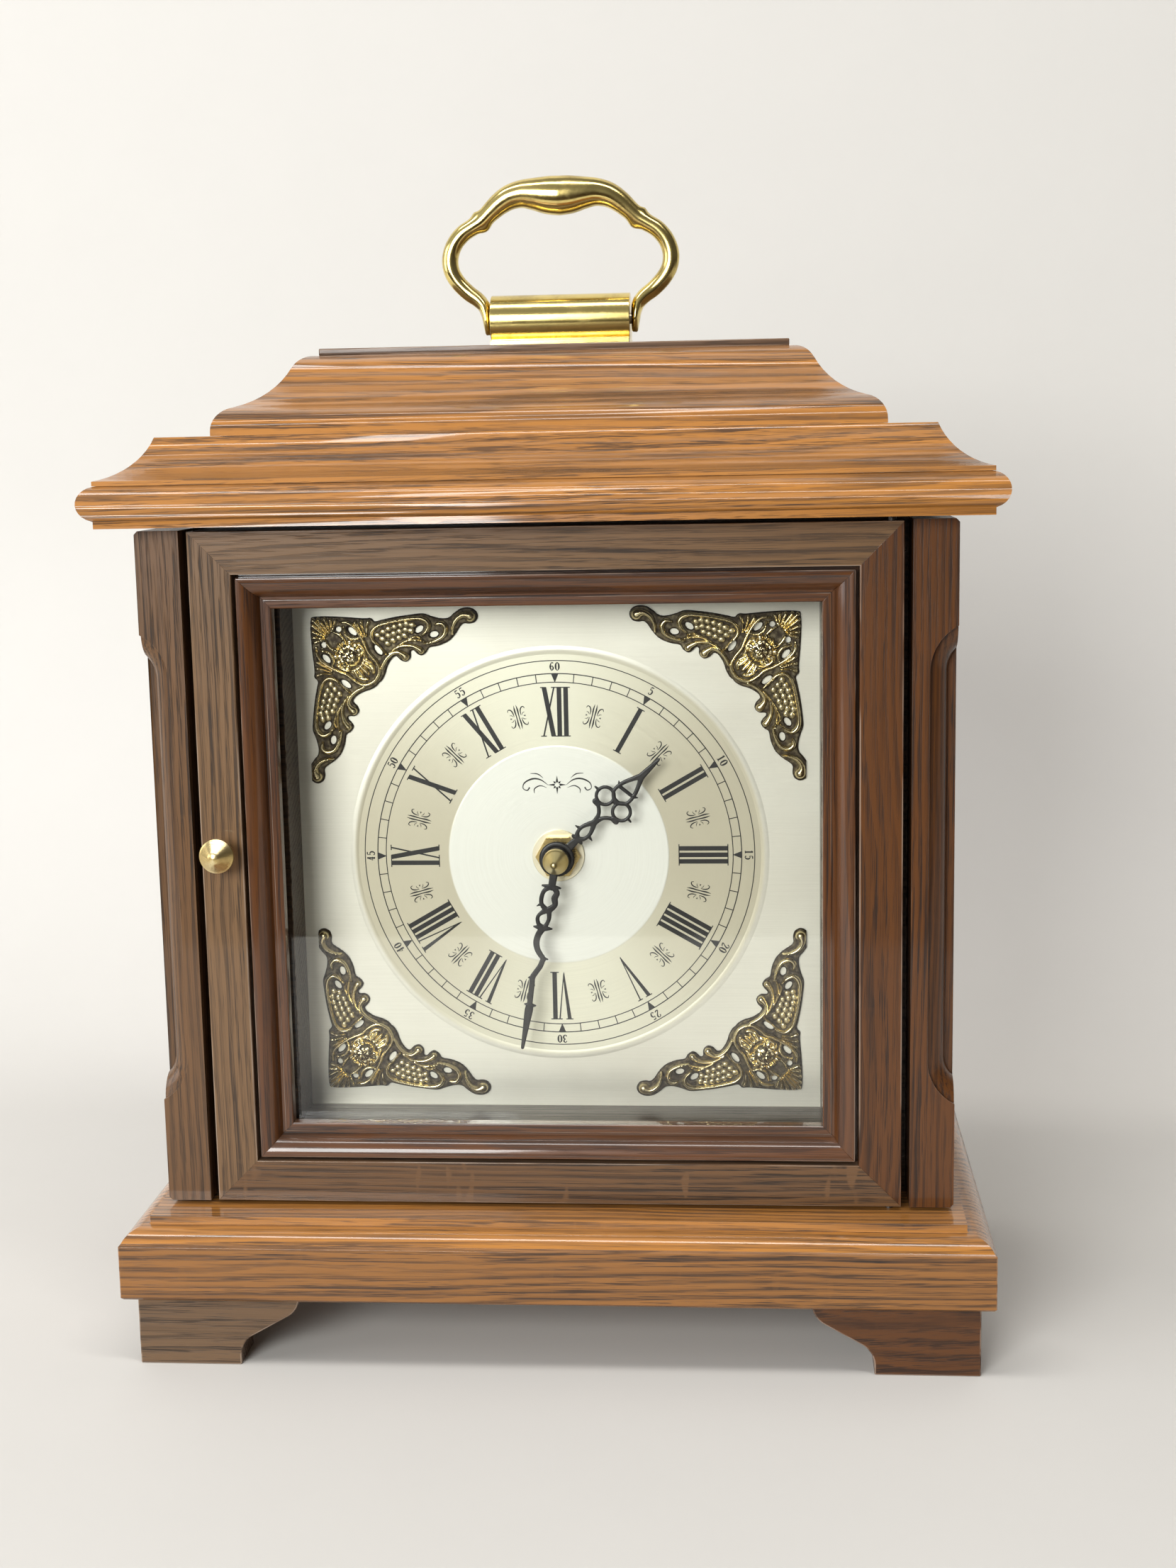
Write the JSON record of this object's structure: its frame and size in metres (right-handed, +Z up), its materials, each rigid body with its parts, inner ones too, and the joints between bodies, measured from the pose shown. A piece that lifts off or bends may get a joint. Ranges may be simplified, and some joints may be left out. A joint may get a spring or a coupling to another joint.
{
  "type": "mantel clock",
  "caption": "Oak bracket mantel clock with moulded bell top and swinging bail, glazed hinged door, square dial with cast corners, serpentine hands and bracket feet.",
  "frame": {"origin": "middle of the footprint, on the surface that the feet stand on", "axes": "+Z up, dial and front door towards -Y, door hinge on the +X side"},
  "size_m": [0.309, 0.162, 0.4183],
  "materials": {
    "oak_case": "satin varnish over open grain",
    "oak_cap": "satin varnish over open grain",
    "oak_inside": "dark stained, matte",
    "brass": "polished, lightly tarnished",
    "brass_antique": "antiqued casting, dark recesses",
    "dial_gold": "brushed pale gold",
    "black_metal": "satin black",
    "black_plastic": "moulded, fine grain",
    "steel": "turned",
    "glass": "clear",
    "board": "green lacquer",
    "cell": "plain sleeve"
  },
  "bodies": {
    "case": {"base_slab": "oak_case", "base_board": "oak_cap", "foot_front_left": "oak_case", "foot_front_right": "oak_case", "foot_back_left": "oak_case", "foot_back_right": "oak_case", "case_side_left": "oak_case", "case_side_right": "oak_case", "case_floor": "oak_inside", "case_ceiling": "oak_inside", "crown_front": "oak_cap", "crown_left": "oak_cap", "crown_right": "oak_cap", "crown_deck": "oak_cap", "bell_front": "oak_cap", "bell_left": "oak_cap", "bell_right": "oak_cap", "bell_core": "oak_cap", "top_plate": "oak_cap", "handle_base": "brass", "handle_pins": "steel", "door_pins": "steel", "door_magnet": "black_plastic", "dial_surround": "oak_inside", "dial_plate": "dial_gold", "spandrel_top_left": "brass_antique", "spandrel_top_right": "brass_antique", "spandrel_bottom_left": "brass_antique", "spandrel_bottom_right": "brass_antique", "movement_case": "black_plastic", "movement_cover": "black_plastic", "circuit_board": "board", "battery": "cell", "mounting_nut": "brass", "dial_washer": "brass", "back_pins": "steel"},
    "door": {"door_stile_left": "oak_case", "door_stile_right": "oak_case", "door_rail_top": "oak_case", "door_rail_bottom": "oak_case", "door_bead_left": "oak_case", "door_bead_right": "oak_case", "door_bead_top": "oak_case", "door_bead_bottom": "oak_case", "door_glass": "glass", "glass_stops": "oak_inside", "door_knob": "brass", "door_bushes": "brass", "door_strike": "steel"},
    "back_door": {"back_door": "oak_inside", "back_knob": "brass"},
    "handle": {"handle_bail": "brass", "handle_ears": "brass"},
    "minute": {"minute_arbor": "steel", "minute_hand": "black_metal", "hand_nut": "brass"},
    "hour": {"hour_wheel": "brass", "hour_hand": "black_metal"},
    "motion": {"motion_wheel": "brass"},
    "setting": {"set_knob": "black_plastic"}
  },
  "joints": [
    {"name": "door_hinge", "type": "hinge", "parent": "case", "child": "door", "pos_m": [0.1174, -0.055, 0.1735], "axis": [0, 0, 1], "range_deg": [0, 110]},
    {"name": "back_door_hinge", "type": "hinge", "parent": "case", "child": "back_door", "pos_m": [-0.119, 0.074, 0.175], "axis": [0, 0, 1], "range_deg": [0, 110]},
    {"name": "handle_swing", "type": "hinge", "parent": "case", "child": "handle", "pos_m": [0, 0.03655, 0.36575], "axis": [1, 0, 0], "range_deg": [-85, 85]},
    {"name": "minute_turn", "type": "hinge", "parent": "case", "child": "minute", "pos_m": [0, -0.02, 0.1725], "axis": [0, 1, 0], "continuous": true},
    {"name": "hour_turn", "type": "hinge", "parent": "case", "child": "hour", "pos_m": [0, -0.02, 0.1725], "axis": [0, 1, 0], "continuous": true},
    {"name": "motion_turn", "type": "hinge", "parent": "case", "child": "motion", "pos_m": [0, -0.02, 0.1845], "axis": [0, 1, 0], "continuous": true},
    {"name": "setting_turn", "type": "hinge", "parent": "case", "child": "setting", "pos_m": [-0.013, -0.02, 0.1845], "axis": [0, 1, 0], "continuous": true}
  ],
  "couplings": [
    {"joint": "hour_turn", "follows": "minute_turn", "ratio": 0.083333},
    {"joint": "motion_turn", "follows": "minute_turn", "ratio": -0.33333},
    {"joint": "setting_turn", "follows": "minute_turn", "ratio": 0.75}
  ]
}
